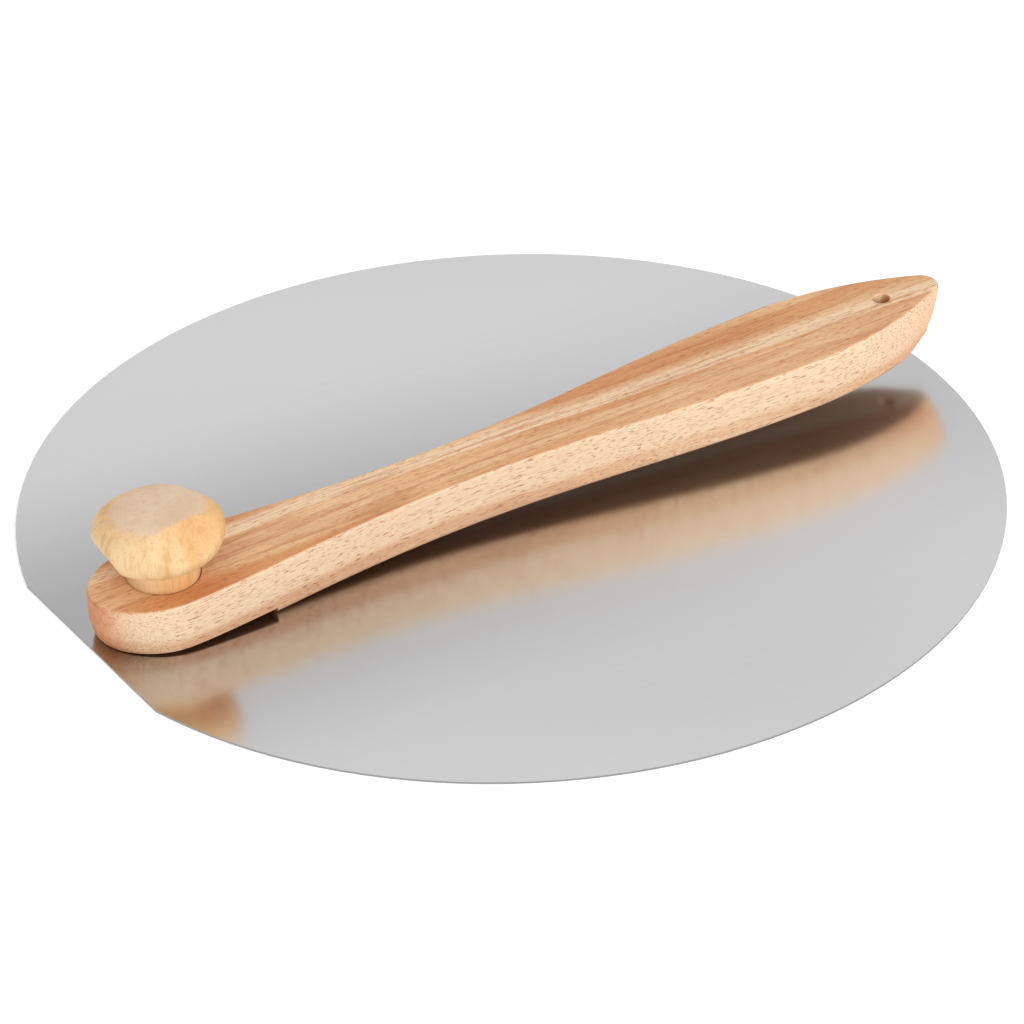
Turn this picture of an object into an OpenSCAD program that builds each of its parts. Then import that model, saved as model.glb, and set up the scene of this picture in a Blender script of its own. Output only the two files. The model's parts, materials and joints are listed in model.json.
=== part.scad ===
// Folding round pizza peel: a steel disc with one straight edge, and a wooden handle that
// turns on a stud near that edge and is clamped there by a wooden knob. It is drawn folded.
// Millimetres, +Z up. The origin is the centre of the disc, on the blade's underside. The
// folded handle lies along +X, and the straight edge faces -X.

/* [Blade] */
// Diameter of the round blade, 16 inches
blade_d = 406; // [390:1:420]
// Thickness of the stainless sheet
sheet_t = 0.9; // [0.7:0.1:1.5]
// Width of the straight edge that the handle's shoulder butts against
straight_edge_w = 108; // [90:1:130]
// Radius that softens the two corners of the straight edge
corner_r = 2.5; // [1:0.5:8]

/* [Pivot] */
// Distance from the straight edge to the pivot's axis
pivot_inset = 34.5; // [33.5:0.5:38]
// Diameter of the stud
stud_d = 6; // [5:0.5:6]
// Pitch of its thread, which is the knob's rise for each turn
thread_pitch = 1; // [0.8:0.05:1.25]
// Length of the stud above the blade
stud_len = 38; // [34:1:40]
// Diameter of the flange that is welded to the blade
flange_d = 14; // [12:1:18]
// Thickness of that flange
flange_t = 1; // [0.8:0.1:1.4]
// Outer diameter of the washer under the knob
washer_d = 22; // [18:1:25]
// Thickness of the washer
washer_t = 1.5; // [1:0.1:2]

/* [Handle] */
// Thickness of the wooden bar
bar_t = 24; // [20:0.5:26]
// Half of the bar's width at the heel
heel_half_w = 24.8; // [22:0.1:28]
// Half of its width at the waist
waist_half_w = 14.8; // [12:0.1:20]
// Half of its width at the grip
grip_half_w = 25.2; // [18:0.1:28]
// Distance from the pivot to the heel's end
heel_len = 31.5; // [28:0.5:32]
// Distance from the pivot to the waist
waist_x = 132; // [120:1:150]
// Distance from the pivot to the widest place of the grip
grip_x = 296; // [285:1:310]
// Distance from the pivot to the tip
tip_x = 372; // [365:1:380]
// Radius of the rounded tip, seen from above
tip_r = 8; // [7:0.5:12]
// Distance from the pivot to the shoulder under the bar
shoulder_x = 40; // [38:0.5:44]
// Depth of the rebate between the heel and the shoulder
rebate_d = 3.1; // [2:0.1:4]
// Radius of the upper long edges
top_arris_r = 1.5; // [1:0.5:3.5]
// Radius of the lower long edges
low_arris_r = 3.5; // [1.5:0.5:4]
// Radius of the lower edge round the heel's end
heel_arris_r = 9; // [4:0.5:11]
// Radius of the lower edge round the tip
tip_arris_r = 6; // [4:0.5:6.5]
// Distance by which the tip falls back under its upper edge
tip_under = 5; // [0:0.5:6]
// Hole for the stud, wide enough for the bar to tip
pivot_hole_d = 8; // [7.5:0.5:9]
// Distance from the pivot to the hanging hole
hang_x = 345; // [335:1:350]
// Diameter of the hanging hole
hang_d = 6.8; // [5:0.1:10]
// Chamfer at both ends of the hanging hole
hang_chamfer = 0.8; // [0.4:0.1:1.2]

/* [Knob] */
// Largest diameter of the turned knob
knob_d = 54; // [52:1:58]
// Height of the knob
knob_h = 32.5; // [30:0.5:36]
// Diameter of the flat top
knob_top_d = 28; // [24:1:32]
// Height of the widest place above the knob's base
girdle_h = 21; // [18:0.5:23]
// Diameter of the neck where it stands on the handle
neck_d = 29.5; // [27:0.5:31]
// Height of the neck
neck_h = 9.3; // [7:0.1:10]
// Direction of the low finger flat, which faces outwards and a little down
low_flat_az = 172; // [0:1:359]
// Depth of the low flat at the widest place
low_flat_d = 1.5; // [0.5:0.5:3]
// Angle by which the low flat leans out
low_flat_lean = 31; // [15:1:32]
// Direction of the front high flat
front_flat_az = 276; // [0:1:359]
// Direction of the high flat at the side
side_flat_az = 24; // [0:1:359]
// Depth of the front high flat at the widest place
front_flat_d = 4; // [2:0.5:6]
// Depth of the one at the side
side_flat_d = 2; // [1:0.5:6]
// Angle by which the two high flats lean back
high_flat_lean = 36; // [15:1:40]
// Radius of the shallow hollow in each flat
flat_r = 80; // [50:5:120]
// Outer diameter of the brass insert
insert_d = 10; // [9:0.5:12]
// Length of the brass insert
insert_len = 14; // [12:0.5:16]

/* [Hidden] */

steel = [0.74, 0.74, 0.75];
bright_steel = [0.8, 0.8, 0.82];
brass = [0.8, 0.65, 0.35];
bar_wood = [0.85, 0.66, 0.45];
knob_wood = [0.93, 0.78, 0.58];
smooth = 96;

blade_r = blade_d / 2;
// Distance from the disc's centre to the straight edge
chord_x = sqrt(pow(blade_r, 2) - pow(straight_edge_w / 2, 2));
pivot_x = pivot_inset - chord_x;
// Gap that keeps touching pieces of different bodies apart
touch = 0.1;
// The folded bar stands on the heel's end and on the shoulder, so the rebate tips it up
fold_tilt = atan(rebate_d / (shoulder_x + heel_len));
// Height of the bar's upper face on the stud's axis
bar_top_z = sheet_t + touch - shoulder_x * tan(fold_tilt) + bar_t / cos(fold_tilt);
// The knob stands in a shallow level seat in the bar's sloping upper face
seat_r = neck_d / 2 + 0.6;
seat_z = bar_top_z - seat_r * tan(fold_tilt) - 0.1;
knob_z = seat_z + touch;
insert_z = knob_z + 1;
stud_fit = 0.05;

// The numbers from one value to another in equal steps, both ends counted
function steps(from, to, count) = [for (i = [0 : count]) from + (to - from) * i / count];
// A curve from 1 to 0 that starts and ends level
function ease(t) = (1 + cos(180 * t)) / 2;

// ---- Blade ----

// What a round corner of radius corner_r takes off between the straight edge and the rim
module corner_cut() {
    reach = sqrt(pow(blade_r - corner_r, 2) - pow(chord_x - corner_r, 2));
    rim_scale = blade_r / (blade_r - corner_r);
    difference() {
        polygon([
            [-chord_x - 1, reach],
            [-chord_x + corner_r, reach],
            [(corner_r - chord_x) * rim_scale, reach * rim_scale],
            [-chord_x - 1, reach * rim_scale + 1]
        ]);
        translate([corner_r - chord_x, reach]) circle(r = corner_r, $fn = smooth);
    }
}

module blade() {
    color(steel)
    linear_extrude(sheet_t)
    difference() {
        circle(r = blade_r, $fn = 360);
        translate([-chord_x - blade_r, -blade_r]) square([blade_r, blade_d]);
        corner_cut();
        mirror([0, 1]) corner_cut();
    }
}

// ---- Pivot ----

module on_pivot(z) {
    translate([pivot_x, 0, z]) children();
}

// The stud's upper end is pointed over one pitch of the thread
module pivot_stud() {
    shank = stud_len - thread_pitch;
    point_d = stud_d - 2 * thread_pitch;
    color(bright_steel)
    on_pivot(sheet_t) {
        cylinder(d = flange_d, h = flange_t, $fn = smooth);
        cylinder(d = stud_d, h = shank, $fn = smooth);
        translate([0, 0, shank]) cylinder(d1 = stud_d, d2 = point_d, h = thread_pitch, $fn = smooth);
    }
}

module washer() {
    color(bright_steel)
    on_pivot(seat_z - washer_t + touch)
    difference() {
        cylinder(d = washer_d, h = washer_t - touch, $fn = smooth);
        translate([0, 0, -1]) cylinder(d = stud_d + 0.5, h = washer_t + 2, $fn = smooth);
    }
}

// ---- Handle ----

// The bar's plan is symmetrical. These are the stretches of its +Y half, from heel to tip, with
// the pivot at zero: half an ellipse, two eased curves, a long arc and the tip's round.
heel_round = 31.5;
heel_x = heel_round - heel_len;
// The heel's curve falls away faster than it settles at the waist
heel_skew = 0.78;
tip_dx = tip_x - tip_r - grip_x;
side_arc_r = (pow(tip_dx, 2) + pow(grip_half_w, 2) - pow(tip_r, 2)) / (2 * (grip_half_w - tip_r));
side_arc_a = asin(tip_dx / (side_arc_r - tip_r));

half_plan = concat(
    [for (a = steps(4, 90, 13)) [heel_x - heel_round * cos(a), heel_half_w * sin(a)]],
    [for (t = steps(1/14, 1, 13))
        [heel_x + (waist_x - heel_x) * t,
         waist_half_w + (heel_half_w - waist_half_w) * ease(pow(t, heel_skew))]],
    [for (t = steps(1/14, 1, 13))
        [waist_x + (grip_x - waist_x) * t,
         grip_half_w + (waist_half_w - grip_half_w) * ease(t)]],
    [for (a = steps(side_arc_a / 9, side_arc_a, 8))
        [grip_x + side_arc_r * sin(a), grip_half_w - side_arc_r * (1 - cos(a))]],
    [for (a = steps(side_arc_a + 7, 84, 8))
        [tip_x - tip_r + tip_r * sin(a), tip_r * cos(a)]]
);
half_count = len(half_plan);
plan = concat(half_plan, [for (i = [half_count - 1 : -1 : 0]) [half_plan[i].x, -half_plan[i].y]]);
plan_count = len(plan);

// One point of the outline, moved inwards by d and square to the outline
function unit(v) = v / norm(v);
function inset(i, d) =
    let (along = unit(plan[(i + 1) % plan_count] - plan[(i + plan_count - 1) % plan_count]))
    plan[i] + d * [along.y, -along.x];

// The lower arris is wider round the heel's end and round the tip
tip_reach = 30;
function at_heel(x) = ease(min(1, 1 + x / heel_len));
function at_tip(x) = ease(min(1, (tip_x - x) / tip_reach));
function low_r(x) =
    low_arris_r
    + (heel_arris_r - low_arris_r) * at_heel(x)
    + (tip_arris_r - low_arris_r) * at_tip(x);

// The rounded blank is a little too thick, and is then planed flat to bar_t. Across and up count
// in radii from the side face and from the broad face.
planed = 0.1;
blank_t = bar_t + 2 * planed;
arris_steps = 4;
function low_ring(across, up) = [
    for (i = [0 : plan_count - 1])
        let (r = low_r(plan[i].x), p = inset(i, r * across))
        [p.x - tip_under * at_tip(plan[i].x), p.y, r * up]
];
function top_ring(across, up) = [
    for (i = [0 : plan_count - 1])
        let (p = inset(i, top_arris_r * across))
        [p.x, p.y, blank_t - top_arris_r * up]
];
rings = concat(
    [for (a = steps(90, 0, arris_steps)) low_ring(1 - cos(a), 1 - sin(a))],
    [for (a = steps(0, 90, arris_steps)) top_ring(1 - cos(a), 1 - sin(a))]
);
ring_count = len(rings);

module rounded_blank() {
    points = [for (ring = rings) each ring];
    last = plan_count * (ring_count - 1);
    wall = [
        for (k = [0 : ring_count - 2]) for (i = [0 : plan_count - 1])
            let (
                j = (i + 1) % plan_count,
                a = k * plan_count + i,
                b = k * plan_count + j,
                c = a + plan_count,
                d = b + plan_count
            )
            each [[a, b, c], [b, d, c]]
    ];
    bottom = [for (i = [plan_count - 1 : -1 : 0]) i];
    top = [for (i = [0 : plan_count - 1]) last + i];
    polyhedron(points = points, faces = concat(wall, [bottom, top]));
}

module bar_blank() {
    intersection() {
        translate([0, 0, -planed]) rounded_blank();
        translate([-heel_len - 1, -heel_half_w * 2, 0])
            cube([heel_len + tip_x + 2, heel_half_w * 4, bar_t]);
    }
}

// Places what is drawn with the pivot at x = 0 and the main underside at z = 0 as it is folded
module folded() {
    translate([pivot_x + shoulder_x, 0, sheet_t + touch])
        rotate([0, -fold_tilt, 0])
            translate([-shoulder_x, 0, 0]) children();
}

// The hanging hole and the chamfers at its two ends, which run a little past the faces
module hanging_hole() {
    past = 0.5;
    wide_d = hang_d + 2 * (hang_chamfer + past);
    cone_h = hang_chamfer + past;
    translate([hang_x, 0, -1]) cylinder(d = hang_d, h = bar_t + 2, $fn = smooth);
    translate([hang_x, 0, -past]) cylinder(d1 = wide_d, d2 = hang_d, h = cone_h, $fn = smooth);
    translate([hang_x, 0, bar_t - hang_chamfer])
        cylinder(d1 = hang_d, d2 = wide_d, h = cone_h, $fn = smooth);
}

module rebate() {
    long = 60;
    translate([shoulder_x - long - heel_len, -long, rebate_d - long])
        cube([long + heel_len, 2 * long, long]);
}

module handle() {
    recess_z = sheet_t + flange_t + 0.6;
    above = 20;
    color(bar_wood)
    difference() {
        folded() difference() {
            bar_blank();
            rebate();
            hanging_hole();
        }
        on_pivot(-1) cylinder(d = pivot_hole_d, h = 40, $fn = smooth);
        on_pivot(-1) cylinder(d = flange_d + 2, h = recess_z + 1, $fn = smooth);
        on_pivot(seat_z - washer_t) cylinder(d = washer_d + 1, h = above, $fn = smooth);
        on_pivot(seat_z) cylinder(r = seat_r, h = above, $fn = smooth);
    }
}

// ---- Knob ----

// The turned outline, from the base up: neck, bowl, shoulder and flat top
module knob_outline() {
    neck_top_r = neck_d / 2 + 0.7;
    bowl_r = neck_top_r + 1.5;
    girdle_r = knob_d / 2;
    top_r = knob_top_d / 2;
    crown = 0.8;
    polygon(concat(
        [[0, 0], [neck_d / 2 - 0.5, 0], [neck_d / 2, 0.5], [neck_top_r, neck_h]],
        [for (a = steps(0, 90, 10))
            [bowl_r + (girdle_r - bowl_r) * sin(a), girdle_h - (girdle_h - neck_h) * cos(a)]],
        [for (a = steps(9, 90, 9))
            [top_r + (girdle_r - top_r) * cos(a), girdle_h + (knob_h - crown - girdle_h) * sin(a)]],
        [for (t = steps(0.75, 0, 3)) [top_r * t, knob_h - crown * t * t]]
    ));
}

// What is cut away for one flat, a drum that lies across the knob
module finger_flat(azimuth, depth, lean) {
    rotate(azimuth)
        translate([knob_d / 2 - depth, 0, girdle_h])
            rotate([0, -lean, 0])
                translate([flat_r, 60, 0])
                    rotate([90, 0, 0]) cylinder(r = flat_r, h = 120, $fn = 180);
}

module knob() {
    blind_h = sheet_t + stud_len - knob_z + 4;
    color(knob_wood)
    on_pivot(knob_z)
    difference() {
        rotate_extrude($fn = smooth) knob_outline();
        finger_flat(low_flat_az, low_flat_d, -low_flat_lean);
        finger_flat(front_flat_az, front_flat_d, high_flat_lean);
        finger_flat(side_flat_az, side_flat_d, high_flat_lean);
        translate([0, 0, -1]) cylinder(d = insert_d, h = insert_len + 2, $fn = smooth);
        cylinder(d = stud_d + 0.8, h = blind_h, $fn = smooth);
    }
}

module knob_insert() {
    color(brass)
    on_pivot(insert_z)
    difference() {
        cylinder(d = insert_d, h = insert_len, $fn = smooth);
        translate([0, 0, -1]) cylinder(d = stud_d + 2 * stud_fit, h = insert_len + 2, $fn = smooth);
    }
}

blade();
pivot_stud();
handle();
washer();
knob();
knob_insert();
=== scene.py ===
import json
import math

import bmesh
import bpy
from mathutils import Matrix, Vector


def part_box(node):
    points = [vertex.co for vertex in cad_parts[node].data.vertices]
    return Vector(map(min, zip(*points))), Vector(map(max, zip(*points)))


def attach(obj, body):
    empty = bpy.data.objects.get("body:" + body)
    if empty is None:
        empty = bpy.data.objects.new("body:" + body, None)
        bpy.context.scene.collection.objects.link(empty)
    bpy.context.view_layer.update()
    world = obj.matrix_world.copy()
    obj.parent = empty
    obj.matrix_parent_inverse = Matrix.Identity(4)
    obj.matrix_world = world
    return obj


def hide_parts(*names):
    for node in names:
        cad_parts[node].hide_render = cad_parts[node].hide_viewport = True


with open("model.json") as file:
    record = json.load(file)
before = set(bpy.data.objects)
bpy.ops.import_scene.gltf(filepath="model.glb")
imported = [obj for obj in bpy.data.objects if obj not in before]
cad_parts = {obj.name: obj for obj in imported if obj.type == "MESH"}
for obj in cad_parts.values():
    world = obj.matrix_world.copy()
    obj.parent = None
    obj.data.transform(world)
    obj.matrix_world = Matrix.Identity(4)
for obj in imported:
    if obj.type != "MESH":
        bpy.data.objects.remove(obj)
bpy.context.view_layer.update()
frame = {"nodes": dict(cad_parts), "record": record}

record = frame["record"]


# ---- Where things are ----

joints = {j["name"]: j for j in record["behaviour"]["joints"]}
mounts = {m["name"]: m for m in record["mounts"]}
pivot_x = joints["handle_swing"]["pos_m"][0]
hole = mounts["hanging_hole"]
fold_tilt = math.atan2(-hole["axis"][0], hole["axis"][2])
blade_low, blade_high = [Vector(c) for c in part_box("blade")]
knob_low, knob_high = [Vector(c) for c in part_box("knob")]
washer_low, washer_high = [Vector(c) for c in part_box("washer")]
sheet_t = blade_high.z - blade_low.z


# ---- Mesh helpers ----

def steps(first, last, count):
    """Evenly spaced numbers, both ends included."""
    return [first + (last - first) * i / count for i in range(count + 1)]


def ease(t):
    """From 1 at zero down to 0 at one, level at both ends."""
    return (1 + math.cos(math.pi * t)) / 2


def add_object(name, verts, faces):
    mesh = bpy.data.meshes.new(name)
    mesh.from_pydata(verts, [], faces)
    mesh.update()
    bm = bmesh.new()
    bm.from_mesh(mesh)
    bmesh.ops.recalc_face_normals(bm, faces=bm.faces)
    bm.to_mesh(mesh)
    bm.free()
    obj = bpy.data.objects.new(name, mesh)
    bpy.context.scene.collection.objects.link(obj)
    return obj


def closed_rings(name, first, rings, last):
    """A closed mesh of rings between two poles, each ring with the same number of points."""
    count = len(rings[0])
    verts = [first] + [point for ring in rings for point in ring] + [last]
    end = len(verts) - 1
    faces = [(0, 1 + i, 1 + (i + 1) % count) for i in range(count)]
    for k in range(len(rings) - 1):
        base = 1 + k * count
        for i in range(count):
            j = (i + 1) % count
            faces.append((base + i, base + j, base + count + j, base + count + i))
    base = 1 + (len(rings) - 1) * count
    faces += [(end, base + (i + 1) % count, base + i) for i in range(count)]
    return add_object(name, verts, faces)


def round_angles(count):
    return [2 * math.pi * i / count for i in range(count)]


def turned(name, profile, count):
    """A closed solid of revolution about Z from (radius, height) points, first and last on the axis."""
    rings = [[(r * math.cos(a), r * math.sin(a), z) for a in round_angles(count)] for r, z in profile[1:-1]]
    return closed_rings(name, (0, 0, profile[0][1]), rings, (0, 0, profile[-1][1]))


def cut(obj, cutter):
    """Takes the cutter away from the object and deletes the cutter."""
    bpy.context.view_layer.update()
    mod = obj.modifiers.new("cut", "BOOLEAN")
    mod.operation = "DIFFERENCE"
    mod.solver = "EXACT"
    mod.object = cutter
    bpy.context.view_layer.update()
    result = bpy.data.meshes.new_from_object(
        obj.evaluated_get(bpy.context.evaluated_depsgraph_get()))
    obj.modifiers.remove(mod)
    obj.data = result
    bpy.data.objects.remove(cutter, do_unlink=True)


def smooth(obj, angle):
    obj.data.shade_smooth()
    obj.data.set_sharp_from_angle(angle=math.radians(angle))


# ---- Materials ----

def srgb(*levels):
    """Linear light from display levels of 0 to 255."""
    shares = [level / 255 for level in levels]
    return tuple(v / 12.92 if v <= 0.04045 else ((v + 0.055) / 1.055) ** 2.4 for v in shares)


# Of the bar's wood: its ground, its darker and redder streaks, the sapwood, the planed sides with painted
# light, the pores, the painted shade on the underside and the heel's end
TAN, AMBER, RUST = srgb(238, 196, 148), srgb(222, 158, 104), srgb(188, 112, 64)
SAP, PLANED_SIDE_AND_PAINTED_LIGHT, PORE = srgb(245, 216, 178), srgb(248, 224, 192), srgb(178, 96, 54)
UNDERSIDE_PAINTED_SHADE, EMBER = srgb(104, 72, 52), srgb(198, 112, 62)
# Of the knob's wood: its ground, its rings, its streaks, the end grain and the pores
HONEY, HONEY_RING, HONEY_STREAK = srgb(242, 209, 160), srgb(232, 182, 124), srgb(216, 160, 104)
END_GRAIN, KNOB_PORE = srgb(224, 202, 184), srgb(186, 130, 88)
# Of the blade: its faces, the painted shade and reflection along the middle and the cut edge
STEEL, STEEL_MARK = srgb(232, 232, 233), srgb(230, 230, 231)
STEEL_PAINTED_SHADE, STEEL_EDGE = srgb(60, 60, 61), srgb(150, 149, 148)


class Tree:
    """A procedural material around one Principled shader."""

    def __init__(self, name, **constants):
        self.material = bpy.data.materials.new(name)
        self.material.use_nodes = True
        self.tree = self.material.node_tree
        self.tree.nodes.clear()
        self.shader = self.add("ShaderNodeBsdfPrincipled")
        output = self.add("ShaderNodeOutputMaterial")
        self.link(self.shader.outputs["BSDF"], output.inputs["Surface"])
        for key, value in constants.items():
            self.shader.inputs[key.replace("_", " ")].default_value = value
        self.coords = self.add("ShaderNodeTexCoord")
        self.place = self.coords.outputs["Object"]

    def add(self, kind, **settings):
        node = self.tree.nodes.new(kind)
        for key, value in settings.items():
            setattr(node, key, value)
        return node

    def link(self, source, target):
        self.tree.links.new(source, target)

    def feed(self, socket, value):
        if isinstance(value, bpy.types.NodeSocket):
            self.link(value, socket)
        else:
            socket.default_value = value

    def math(self, operation, a, b=0.0):
        node = self.add("ShaderNodeMath", operation=operation)
        self.feed(node.inputs[0], a)
        self.feed(node.inputs[1], b)
        return node.outputs[0]

    def times(self, a, b):
        return self.math("MULTIPLY", a, b)

    def plus(self, a, b):
        return self.math("ADD", a, b)

    def absolute(self, value):
        return self.math("ABSOLUTE", value)

    def split(self, vector):
        node = self.add("ShaderNodeSeparateXYZ")
        self.link(vector, node.inputs[0])
        return node.outputs

    def facing(self):
        """The three parts of the surface's normal, in the object's own axes."""
        return self.split(self.coords.outputs["Normal"])

    def noise(self, scale, detail=2.0, roughness=0.5, place=None, offset=(0, 0, 0)):
        """Noise with so many cells to the metre along X, Y and Z."""
        cells = self.add("ShaderNodeMapping")
        self.link(place or self.place, cells.inputs["Vector"])
        cells.inputs["Location"].default_value = offset
        cells.inputs["Scale"].default_value = scale
        node = self.add("ShaderNodeTexNoise")
        self.link(cells.outputs[0], node.inputs["Vector"])
        node.inputs["Scale"].default_value = 1.0
        node.inputs["Detail"].default_value = detail
        node.inputs["Roughness"].default_value = roughness
        return node.outputs["Fac"]

    def ramp(self, value, low, high, out_low=0.0, out_high=1.0):
        """Eased from out_low at or below low to out_high at or above high."""
        node = self.add("ShaderNodeMapRange", interpolation_type="SMOOTHSTEP", clamp=True)
        self.link(value, node.inputs["Value"])
        for key, number in (("From Min", low), ("From Max", high), ("To Min", out_low), ("To Max", out_high)):
            node.inputs[key].default_value = number
        return node.outputs["Result"]

    def mix(self, factor, a, b):
        node = self.add("ShaderNodeMix", data_type="RGBA")
        self.feed(node.inputs["Factor"], factor)
        for socket, value in ((node.inputs[6], a), (node.inputs[7], b)):
            self.feed(socket, value if isinstance(value, bpy.types.NodeSocket) else (*value, 1))
        return node.outputs[2]

    def bump(self, height, distance, strength):
        node = self.add("ShaderNodeBump")
        self.link(height, node.inputs["Height"])
        node.inputs["Distance"].default_value = distance
        node.inputs["Strength"].default_value = strength
        self.link(node.outputs["Normal"], self.shader.inputs["Normal"])


def handle_wood(turn, shift):
    """Grain along the bar. The Euler turn and the shift lead from the object to the bar's own axes."""
    t = Tree("handle_wood", IOR=1.45, Specular_IOR_Level=0.3)
    own = t.add("ShaderNodeMapping")
    t.link(t.place, own.inputs["Vector"])
    own.inputs["Rotation"].default_value = turn
    own.inputs["Location"].default_value = shift
    x, y, z = t.split(own.outputs[0])
    # The grain wanders a few millimetres to either side
    bend = t.math("SUBTRACT", t.noise((4, 10, 10), place=own.outputs[0]), 0.5)
    grain_y = t.plus(y, t.times(bend, 0.014))
    join = t.add("ShaderNodeCombineXYZ")
    for socket, value in zip(join.inputs, (x, grain_y, z)):
        t.link(value, socket)
    grain = join.outputs[0]
    broad = t.noise((3, 75, 60), 3.0, place=grain)
    patch = t.noise((9, 34, 30), 3.0, 0.55, place=grain)
    streak = t.noise((16, 520, 400), 4.0, 0.62, place=grain)
    fibre = t.noise((70, 2600, 2600), 2.0, 0.6, place=grain)
    pore = t.noise((230, 2300, 2300), 1.0, 0.5, place=grain)
    colour = t.mix(t.ramp(broad, 0.38, 0.62), TAN, AMBER)
    # The wood is redder and darker towards the heel
    red = t.times(t.ramp(patch, 0.44, 0.68), t.ramp(x, 0.04, 0.16, 0.7, 0.3))
    colour = t.mix(red, colour, RUST)
    # Paler sapwood runs from the back of the heel to the middle of the grip, and starts at a sharp line
    across = t.plus(grain_y, t.times(x, 0.034))
    sap = t.times(t.ramp(across, 0.0078, 0.0084, 0.0, 0.95), t.ramp(across, 0.0135, 0.0175, 1.0, 0.12))
    colour = t.mix(sap, colour, SAP)
    colour = t.mix(t.ramp(streak, 0.46, 0.72, 0.0, 0.62), colour, RUST)
    # The sides are paler, partly as planed wood and partly as painted light; less of it below the soft
    # crease, as painted shade
    facing_x, facing_y, facing_z = t.facing()
    side = t.ramp(t.absolute(facing_y), 0.25, 0.9)
    upper = t.ramp(t.plus(z, t.times(bend, 0.012)), 0.0070, 0.0115, 0.42, 0.86)
    colour = t.mix(t.times(side, upper), colour, PLANED_SIDE_AND_PAINTED_LIGHT)
    # The heel's end is redder towards +Y, the tip's end is amber, and the underside is darker as painted
    # shade
    heel = t.times(t.ramp(facing_x, -0.95, -0.3, 1.0, 0.0), t.ramp(y, -0.016, -0.002, 0.1, 0.65))
    colour = t.mix(heel, colour, EMBER)
    colour = t.mix(t.ramp(facing_x, 0.1, 0.9, 0.0, 0.8), colour, AMBER)
    colour = t.mix(t.ramp(facing_z, -0.95, -0.6, 0.55, 0.0), colour, UNDERSIDE_PAINTED_SHADE)
    # Fine fibres and short dark pores
    colour = t.mix(t.ramp(fibre, 0.38, 0.8, 0.0, 0.38), colour, RUST)
    dashes = t.ramp(pore, 0.59, 0.69)
    colour = t.mix(t.times(dashes, 0.7), colour, PORE)
    t.link(colour, t.shader.inputs["Base Color"])
    t.link(t.ramp(fibre, 0.2, 0.8, 0.42, 0.6), t.shader.inputs["Roughness"])
    t.bump(t.math("SUBTRACT", t.times(fibre, 0.35), dashes), 0.00005, 0.5)
    return t.material


def knob_wood():
    """Upright grain, with the end grain on the cap."""
    t = Tree("knob_wood", IOR=1.45, Specular_IOR_Level=0.3)
    ring = t.noise((60, 34, 4))
    fibre = t.noise((1900, 1900, 90), 2.0, 0.6)
    streak = t.noise((360, 360, 16), 3.0, 0.6)
    pore = t.noise((2300, 2300, 210), 1.0, 0.5)
    colour = t.mix(t.ramp(ring, 0.35, 0.68), HONEY, HONEY_RING)
    colour = t.mix(t.ramp(streak, 0.45, 0.72, 0.0, 0.6), colour, HONEY_STREAK)
    # End grain looks greyer where the surface faces up
    end = t.ramp(t.facing()[2], 0.86, 0.995)
    colour = t.mix(t.times(end, 0.6), colour, END_GRAIN)
    dots = t.ramp(pore, 0.57, 0.70)
    colour = t.mix(t.times(dots, 0.28), colour, KNOB_PORE)
    t.link(colour, t.shader.inputs["Base Color"])
    t.link(t.ramp(fibre, 0.2, 0.8, 0.45, 0.62), t.shader.inputs["Roughness"])
    t.bump(t.math("SUBTRACT", t.times(fibre, 0.4), dots), 0.00008, 0.6)
    return t.material


def blade_steel():
    """Bright sheet with faint marks of the mill along X and a duller cut edge."""
    t = Tree("blade_steel", Metallic=1.0, Anisotropic=0.2)
    mill = t.noise((25, 1500, 1), 3.0, 0.6)
    cloud = t.noise((3.2, 3.2, 3.2), 0.0, offset=(0.35, 0.1, 0))
    colour = t.mix(t.ramp(mill, 0.3, 0.7), STEEL, STEEL_MARK)
    # Painted shade and reflection: a soft darker tone along the middle, most of it near the pivot
    x, y, _ = t.split(t.place)
    painted_shade_band = t.times(t.ramp(t.absolute(y), 0.015, 0.135, 1.0, 0.0), t.ramp(x, -0.15, 0.15, 0.36, 0.15))
    colour = t.mix(painted_shade_band, colour, STEEL_PAINTED_SHADE)
    face = t.ramp(t.absolute(t.facing()[2]), 0.3, 0.8)
    colour = t.mix(face, STEEL_EDGE, colour)
    t.link(colour, t.shader.inputs["Base Color"])
    rough = t.plus(t.ramp(cloud, 0.3, 0.7, 0.15, 0.18), t.ramp(mill, 0.3, 0.7, 0.0, 0.015))
    t.link(rough, t.shader.inputs["Roughness"])
    # The sheet is not quite flat, which makes its soft reflections uneven
    t.bump(t.plus(t.times(mill, 0.00005), cloud), 0.022, 1.0)
    return t.material


def turned_metal(name, light, dark, roughness):
    """Metal with the fine rings of a lathe, each at its own height."""
    t = Tree(name, Metallic=1.0)
    marks = t.noise((300, 300, 4000))
    t.link(t.mix(t.ramp(marks, 0.3, 0.7), light, dark), t.shader.inputs["Base Color"])
    t.link(t.ramp(marks, 0.2, 0.8, roughness, roughness + 0.15), t.shader.inputs["Roughness"])
    t.bump(marks, 0.00002, 0.4)
    return t.material


def give(obj, material):
    obj.data.materials.clear()
    obj.data.materials.append(material)


# ---- Handle ----

# Along the bar, with the pivot at zero
WAIST_X, GRIP_X, HANG_X, TIP_X, SHOULDER_X = 0.132, 0.296, 0.345, 0.372, 0.040
# Half widths, lengths and thicknesses
HEEL_HALF, WAIST_HALF, GRIP_HALF = 0.0248, 0.0148, 0.0252
HEEL_LEN, HEEL_ROUND, TIP_R, TIP_REACH = 0.0315, 0.0315, 0.008, 0.03
BAR_T, REBATE, REBATE_REACH = 0.024, 0.0031, 0.06
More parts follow.
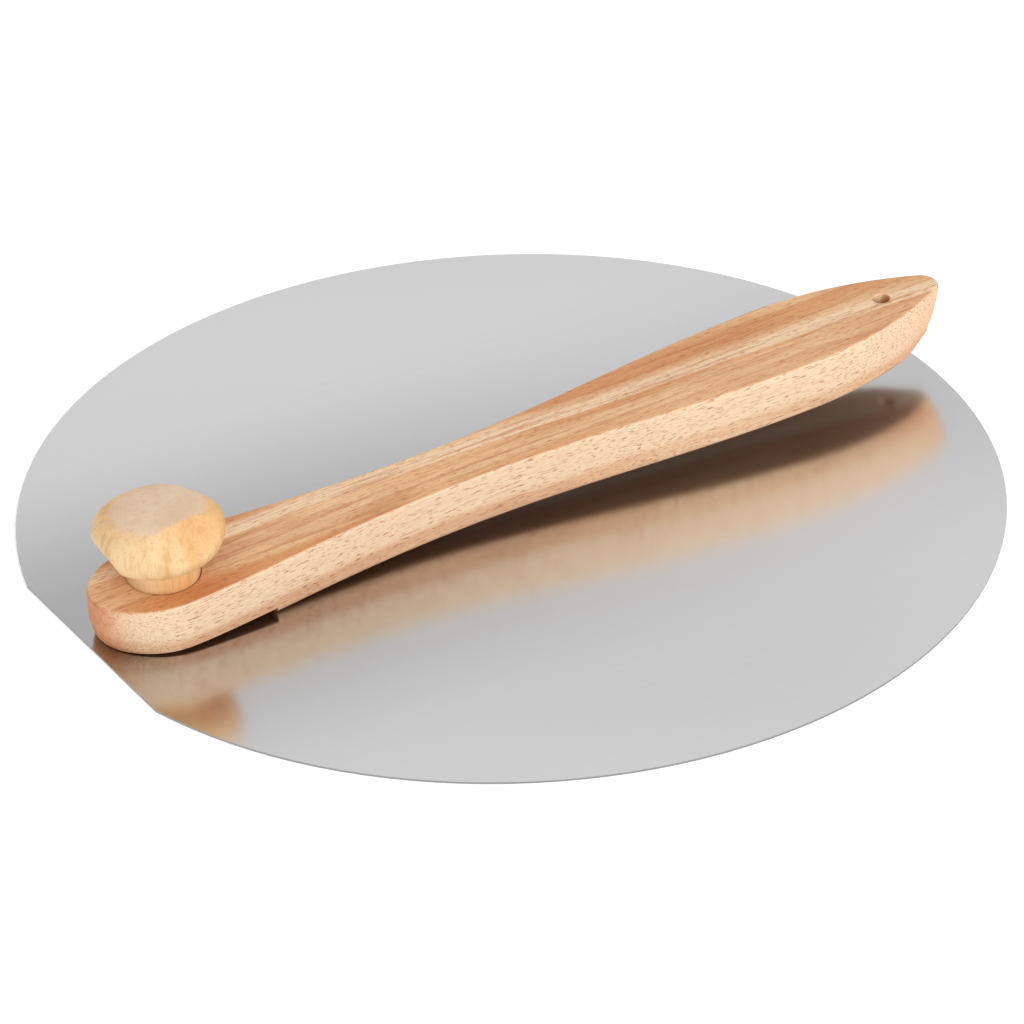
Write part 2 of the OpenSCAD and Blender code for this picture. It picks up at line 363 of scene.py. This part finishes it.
# The section: its arrises, its lean below the crease, and how far the tip falls back under its top
TOP_R, LOW_R, HEEL_R, TIP_EDGE_R = 0.0014, 0.0034, 0.009, 0.006
SIDE_LEAN, CREASE_H, UPPER_SIDE_H, TIP_UNDER = 0.0007, 0.0115, 0.017, 0.005
# The hanging hole's eased rim, and how far a cutter runs past the wood
HANG_EASE, PAST = 0.0009, 0.0006
hang_r = hole["dims"]["r_mm"] / 1000
# The bores and recesses round the pivot, and how far their cutter runs past the bar, below and above
STUD_BORE_R, FLANGE_BORE_R, FLANGE_BORE_H, WASHER_H, KNOB_SEAT_R = 0.004, 0.008, 0.0025, 0.0015, 0.01535
WASHER_PLAY, BORE_PAST, SEAT_PAST = 0.0005, 0.001, 0.02
# Between pieces that lie on each other
TOUCH = 0.0001
bar_place = (Matrix.Translation((pivot_x + SHOULDER_X, 0, sheet_t + TOUCH))
             @ Matrix.Rotation(-fold_tilt, 4, "Y") @ Matrix.Translation((-SHOULDER_X, 0, 0)))


def half_plan():
    """The bar's outline on its +Y side, from heel to tip: an elliptic end, two eased curves and two arcs."""
    heel_x = HEEL_ROUND - HEEL_LEN
    tip_dx = TIP_X - TIP_R - GRIP_X
    arc_r = (tip_dx ** 2 + GRIP_HALF ** 2 - TIP_R ** 2) / (2 * (GRIP_HALF - TIP_R))
    arc_a = math.asin(tip_dx / (arc_r - TIP_R))
    points = [(heel_x - HEEL_ROUND * math.cos(a), HEEL_HALF * math.sin(a))
              for a in steps(math.radians(2), math.pi / 2, 36)]
    points += [(heel_x + (WAIST_X - heel_x) * t, WAIST_HALF + (HEEL_HALF - WAIST_HALF) * ease(t ** 0.78))
               for t in steps(1 / 44, 1, 43)]
    points += [(WAIST_X + (GRIP_X - WAIST_X) * t, GRIP_HALF + (WAIST_HALF - GRIP_HALF) * ease(t))
               for t in steps(1 / 44, 1, 43)]
    points += [(GRIP_X + arc_r * math.sin(a), GRIP_HALF - arc_r * (1 - math.cos(a)))
               for a in steps(arc_a / 20, arc_a, 19)]
    points += [(TIP_X - TIP_R + TIP_R * math.sin(a), TIP_R * math.cos(a))
               for a in steps(arc_a + 0.05, math.radians(88), 20)]
    return points


def at_heel(x):
    return ease(max(0, min(1, 1 + x / HEEL_LEN)))


def at_tip(x):
    return ease(max(0, min(1, (TIP_X - x) / TIP_REACH)))


def low_r(x):
    """The lower arris is wider round the heel's end and round the tip."""
    return LOW_R + (HEEL_R - LOW_R) * at_heel(x) + (TIP_EDGE_R - LOW_R) * at_tip(x)


def side_section(r):
    """The bar's side from bottom to top, as inset and height, with a lower arris of radius r."""
    section = [(SIDE_LEAN + r * (1 - math.sin(a)), r * (1 - math.cos(a))) for a in steps(0, math.pi / 2, 10)]
    section += [(SIDE_LEAN * (1 - t) ** 1.5, r + (CREASE_H - r) * t) for t in (0.35, 0.7, 1)]
    section.append((0, UPPER_SIDE_H))
    return section + [(TOP_R * (1 - math.cos(a)), BAR_T - TOP_R * (1 - math.sin(a)))
                      for a in steps(0, math.pi / 2, 6)]


def bar_body():
    """The whole bar, before any cut."""
    upper = half_plan()
    plan = upper + [(px, -py) for px, py in reversed(upper)]
    count = len(plan)
    high = BAR_T - TOP_R
    columns = []
    for i, (px, py) in enumerate(plan):
        (ax, ay), (bx, by) = plan[i - 1], plan[(i + 1) % count]
        length = math.hypot(bx - ax, by - ay)
        nx, ny = (by - ay) / length, (ax - bx) / length
        r = low_r(px)
        under = TIP_UNDER * at_tip(px)
        columns.append([(px + d * nx - under * min(1, max(0, high - z) / (high - r)) ** 1.3, py + d * ny, z)
                        for d, z in side_section(r)])
    rings = list(zip(*columns))
    faces = []
    for k in range(len(rings) - 1):
        for i in range(count):
            j = (i + 1) % count
            a, b = k * count + i, k * count + j
            faces.append((a, b, b + count, a + count))
    last = (len(rings) - 1) * count
    faces.append(tuple(range(count)))
    faces.append(tuple(range(last, last + count)))
    return add_object("handle_wood_bar", [point for ring in rings for point in ring], faces)


def rebate_cutter():
    """Takes off the heel's underside, up to the shoulder that meets the straight edge."""
    corners = [(x, y, z) for z in (REBATE - REBATE_REACH, REBATE) for y in (-REBATE_REACH, REBATE_REACH)
               for x in (SHOULDER_X - 2 * REBATE_REACH, SHOULDER_X)]
    faces = [(0, 1, 3, 2), (4, 5, 7, 6), (0, 1, 5, 4), (2, 3, 7, 6), (0, 2, 6, 4), (1, 3, 7, 5)]
    block = add_object("rebate_cutter", corners, faces)
    block.matrix_world = bar_place
    return block


def hanging_hole_cutter():
    """The hanging hole with its eased rims."""
    flare = [(hang_r + HANG_EASE * (1 - math.sin(a)), BAR_T - HANG_EASE * (1 - math.cos(a)))
             for a in steps(0, math.pi / 2, 5)]
    widest = flare[0][0] + PAST
    profile = [(0, BAR_T + PAST), (widest, BAR_T + PAST)] + flare
    profile += [(r, BAR_T - z) for r, z in reversed(flare)] + [(widest, -PAST), (0, -PAST)]
    drill = turned("hanging_hole_cutter", profile, 64)
    drill.matrix_world = bar_place @ Matrix.Translation((HANG_X, 0, 0))
    return drill


def pivot_cutter():
    """The stud's bore, its flange's recess, the washer's recess and the knob's level seat."""
    seat_z = knob_low.z - TOUCH
    floor_z = seat_z - WASHER_H
    washer_r = (washer_high.x - washer_low.x) / 2 + WASHER_PLAY
    bore = turned("pivot_cutter", [
        (0, -BORE_PAST), (FLANGE_BORE_R, -BORE_PAST), (FLANGE_BORE_R, FLANGE_BORE_H),
        (STUD_BORE_R, FLANGE_BORE_H), (STUD_BORE_R, floor_z), (washer_r, floor_z), (washer_r, seat_z),
        (KNOB_SEAT_R, seat_z), (KNOB_SEAT_R, seat_z + SEAT_PAST), (0, seat_z + SEAT_PAST)], 96)
    bore.matrix_world = Matrix.Translation((pivot_x, 0, 0))
    return bore


def build_handle():
    handle = bar_body()
    handle.matrix_world = bar_place
    for cutter in (rebate_cutter, hanging_hole_cutter, pivot_cutter):
        cut(handle, cutter())
    # The object stays at the origin, so that its box is that of its points
    handle.data.transform(handle.matrix_world)
    handle.matrix_world = Matrix.Identity(4)
    smooth(handle, 38)
    weighted = handle.modifiers.new("even_faces", "WEIGHTED_NORMAL")
    weighted.weight = 100
    weighted.keep_sharp = True
    return handle


# ---- Knob ----

# Radii and heights of the turned shape, and of the blind bore in it
KNOB_TOP_R, GIRDLE_R, GIRDLE_H, NECK_R, NECK_H = 0.014, 0.027, 0.021, 0.01475, 0.0093
CROWN, NECK_FLARE, BOWL_LIP = 0.0008, 0.0007, 0.0015
INSERT_R, INSERT_H, STUD_R, STUD_H = 0.005, 0.015, 0.0034, 0.0203
# The hand-worked flats, each part of a wide arc: azimuth, depth at the girdle, and how far it leans back
FLATS = [(172, 0.0015, -31), (276, 0.004, 36), (24, 0.002, 36)]
FLAT_R, FLAT_AWAY = 0.080, 0.05
# How sharply a flat meets the turned shape
FLAT_BLEND = 44
# The cap's lean: its azimuth, its angle, the height it turns about, and the height where it is full
LEAN_AZ, LEAN, LEAN_FOOT, LEAN_RISE = 120, 4.2, 0.003, 0.007
KNOB_SIDES = 288


def knob_outline():
    """The turned shape from the cap down to the foot, as radius and height."""
    knob_h = knob_high.z - knob_low.z
    rise = knob_h - CROWN - GIRDLE_H
    neck_top = NECK_R + NECK_FLARE
    bowl_r = neck_top + BOWL_LIP
    # The crowned cap, the dome down to the girdle, and the bowl down to the neck
    outline = [(KNOB_TOP_R * t, knob_h - CROWN * t * t) for t in steps(0, 1, 14)]
    outline += [(KNOB_TOP_R + (GIRDLE_R - KNOB_TOP_R) * math.cos(a), GIRDLE_H + rise * math.sin(a))
                for a in steps(math.radians(86), 0, 30)]
    outline += [(bowl_r + (GIRDLE_R - bowl_r) * math.sin(a), GIRDLE_H - (GIRDLE_H - NECK_H) * math.cos(a))
                for a in steps(math.radians(87), 0, 30)]
    # The small round under the bowl, the neck and its eased foot
    outline += [(neck_top + 0.0006, NECK_H - 0.0001), (neck_top + 0.0001, NECK_H - 0.0003),
                (neck_top, NECK_H - 0.0007)]
    outline += [(NECK_R + NECK_FLARE * t, 0.0006 + (NECK_H - 0.0013) * t) for t in steps(0.9, 0, 6)]
    return outline + [(NECK_R - 0.0002, 0.0002), (NECK_R - 0.0006, 0)]


def flattened(r, z, a):
    """The radius that is left at azimuth a once the flats are taken off. Those that face away don't count."""
    total = r ** -FLAT_BLEND
    for azimuth, depth, lean in FLATS:
        side = math.cos(a - math.radians(azimuth))
        if side <= FLAT_AWAY:
            continue
        tilt = math.radians(lean)
        ox, oz = GIRDLE_R - depth + FLAT_R * math.cos(tilt), GIRDLE_H + FLAT_R * math.sin(tilt)
        reach = ox - math.sqrt(max(FLAT_R ** 2 - (z - oz) ** 2, 1e-9))
        total += (reach / side) ** -FLAT_BLEND
    return total ** (-1 / FLAT_BLEND)


def leaned(point):
    """The bore was drilled a little askew, so that all above the base leans. The base stays level."""
    grow = min(1, max(0, point[2] / LEAN_RISE))
    angle = math.radians(LEAN) * grow * grow * (3 - 2 * grow)
    axis = Vector((-math.sin(math.radians(LEAN_AZ)), math.cos(math.radians(LEAN_AZ)), 0))
    foot = Vector((0, 0, LEAN_FOOT))
    return tuple(foot + Matrix.Rotation(angle, 3, axis) @ (Vector(point) - foot))


def build_knob():
    outline = knob_outline()
    rings = []
    for r, z in outline[1:]:
        radii = [(flattened(r, z, a) if z >= NECK_H else r, a) for a in round_angles(KNOB_SIDES)]
        rings.append([leaned((q * math.cos(a), q * math.sin(a), z)) for q, a in radii])
    # The upright blind bore
    for r, z in [(INSERT_R, 0), (INSERT_R, INSERT_H), (STUD_R, INSERT_H), (STUD_R, STUD_H)]:
        rings.append([(r * math.cos(a), r * math.sin(a), z) for a in round_angles(KNOB_SIDES)])
    knob = closed_rings("knob_wood_grip", leaned((0, 0, outline[0][1])), rings, (0, 0, STUD_H))
    knob.matrix_world = Matrix.Translation((pivot_x, 0, knob_low.z))
    smooth(knob, 50)
    return knob


# ---- Assembly ----

handle = build_handle()
give(handle, handle_wood((0, fold_tilt, 0), bar_place.inverted().translation))
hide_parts("handle")
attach(handle, "handle")

knob = build_knob()
give(knob, knob_wood())
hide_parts("knob")
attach(knob, "knob")

nodes = frame["nodes"]
give(nodes["blade"], blade_steel())
give(nodes["pivot_stud"], turned_metal("stud_steel", srgb(225, 225, 228), srgb(205, 205, 208), 0.2))
give(nodes["washer"], turned_metal("washer_steel", srgb(222, 222, 226), srgb(200, 200, 204), 0.25))
give(nodes["knob_insert"], turned_metal("insert_brass", srgb(225, 190, 110), srgb(205, 165, 85), 0.25))

# ---- Floor and light ----

FLOOR_HALF, FLOOR_DROP, FLOOR_GLOW = 6, 0.0002, 0.3
HORIZON_LIGHT, ZENITH_LIGHT = 0.46, 1.02

floor = add_object("floor", [(-FLOOR_HALF, -FLOOR_HALF, 0), (FLOOR_HALF, -FLOOR_HALF, 0),
                             (FLOOR_HALF, FLOOR_HALF, 0), (-FLOOR_HALF, FLOOR_HALF, 0)], [(0, 1, 2, 3)])
floor.location.z = -FLOOR_DROP
pale = Tree("floor_pale", Roughness=0.9, Specular_IOR_Level=0.1,
            Emission_Color=(1, 1, 1, 1), Emission_Strength=FLOOR_GLOW)
paper = pale.mix(pale.noise((1.5, 1.5, 1.5)), (0.93, 0.93, 0.93), (0.95, 0.95, 0.95))
pale.link(paper, pale.shader.inputs["Base Color"])
give(floor, pale.material)

# The surroundings grow brighter with height
world = bpy.data.worlds.new("studio")
bpy.context.scene.world = world
world.use_nodes = True
sky = world.node_tree
background = sky.nodes["Background"]
direction = sky.nodes.new("ShaderNodeTexCoord")
height = sky.nodes.new("ShaderNodeSeparateXYZ")
shade = sky.nodes.new("ShaderNodeMapRange")
for key, number in (("From Min", 0.0), ("From Max", 1.0),
                    ("To Min", HORIZON_LIGHT), ("To Max", ZENITH_LIGHT)):
    shade.inputs[key].default_value = number
sky.links.new(direction.outputs["Generated"], height.inputs[0])
sky.links.new(height.outputs[2], shade.inputs["Value"])
sky.links.new(shade.outputs["Result"], background.inputs["Color"])
background.inputs["Strength"].default_value = 1.0

# The camera looks along this azimuth, turned from +Y towards +X
VIEW_TURN = 30.21


def studio_light(name, azimuth, elevation, distance, size, watts, colour):
    """An area light that faces the middle of the blade. Azimuth 270 is the camera's side."""
    a, e = math.radians(azimuth - VIEW_TURN), math.radians(elevation)
    data = bpy.data.lights.new(name, "AREA")
    data.shape = "RECTANGLE"
    data.size, data.size_y = size
    data.energy = watts
    data.color = colour
    light = bpy.data.objects.new(name, data)
    light.location = Vector((math.cos(a) * math.cos(e), math.sin(a) * math.cos(e), math.sin(e))) * distance
    light.rotation_euler = (-light.location).to_track_quat("-Z", "Y").to_euler()
    bpy.context.scene.collection.objects.link(light)


studio_light("key", 303, 22, 1.8, (0.9, 0.7), 13, (1.0, 0.99, 0.97))

# ---- Camera ----

ELEVATION, ROLL, CAMERA_FAR = 32.158, -1.831, 2.8658
AIM_RIGHT, AIM_AHEAD = 0.00036, -0.006053
SENSOR_MM, FOCAL_PX, PICTURE_PX = 36, 7000, 1024

turn, elevation, roll = [math.radians(angle) for angle in (VIEW_TURN, ELEVATION, ROLL)]
ahead = Vector((math.sin(turn), math.cos(turn), 0))
right = Vector((math.cos(turn), -math.sin(turn), 0))
forward = ahead * math.cos(elevation) - Vector((0, 0, math.sin(elevation)))
up = right.cross(forward)
rolled_right = right * math.cos(roll) + up * math.sin(roll)
rolled_up = up * math.cos(roll) - right * math.sin(roll)
place = right * AIM_RIGHT + ahead * AIM_AHEAD - forward * CAMERA_FAR
camera_data = bpy.data.cameras.new("camera")
camera_data.sensor_width = SENSOR_MM
camera_data.lens = SENSOR_MM * FOCAL_PX / PICTURE_PX
camera_data.clip_start, camera_data.clip_end = 0.1, 30
camera = bpy.data.objects.new("camera", camera_data)
camera.matrix_world = (Matrix.Translation(place)
                       @ Matrix((rolled_right, rolled_up, -forward)).transposed().to_4x4())
bpy.context.scene.collection.objects.link(camera)
bpy.context.scene.camera = camera
bpy.context.scene.view_settings.view_transform = "Standard"
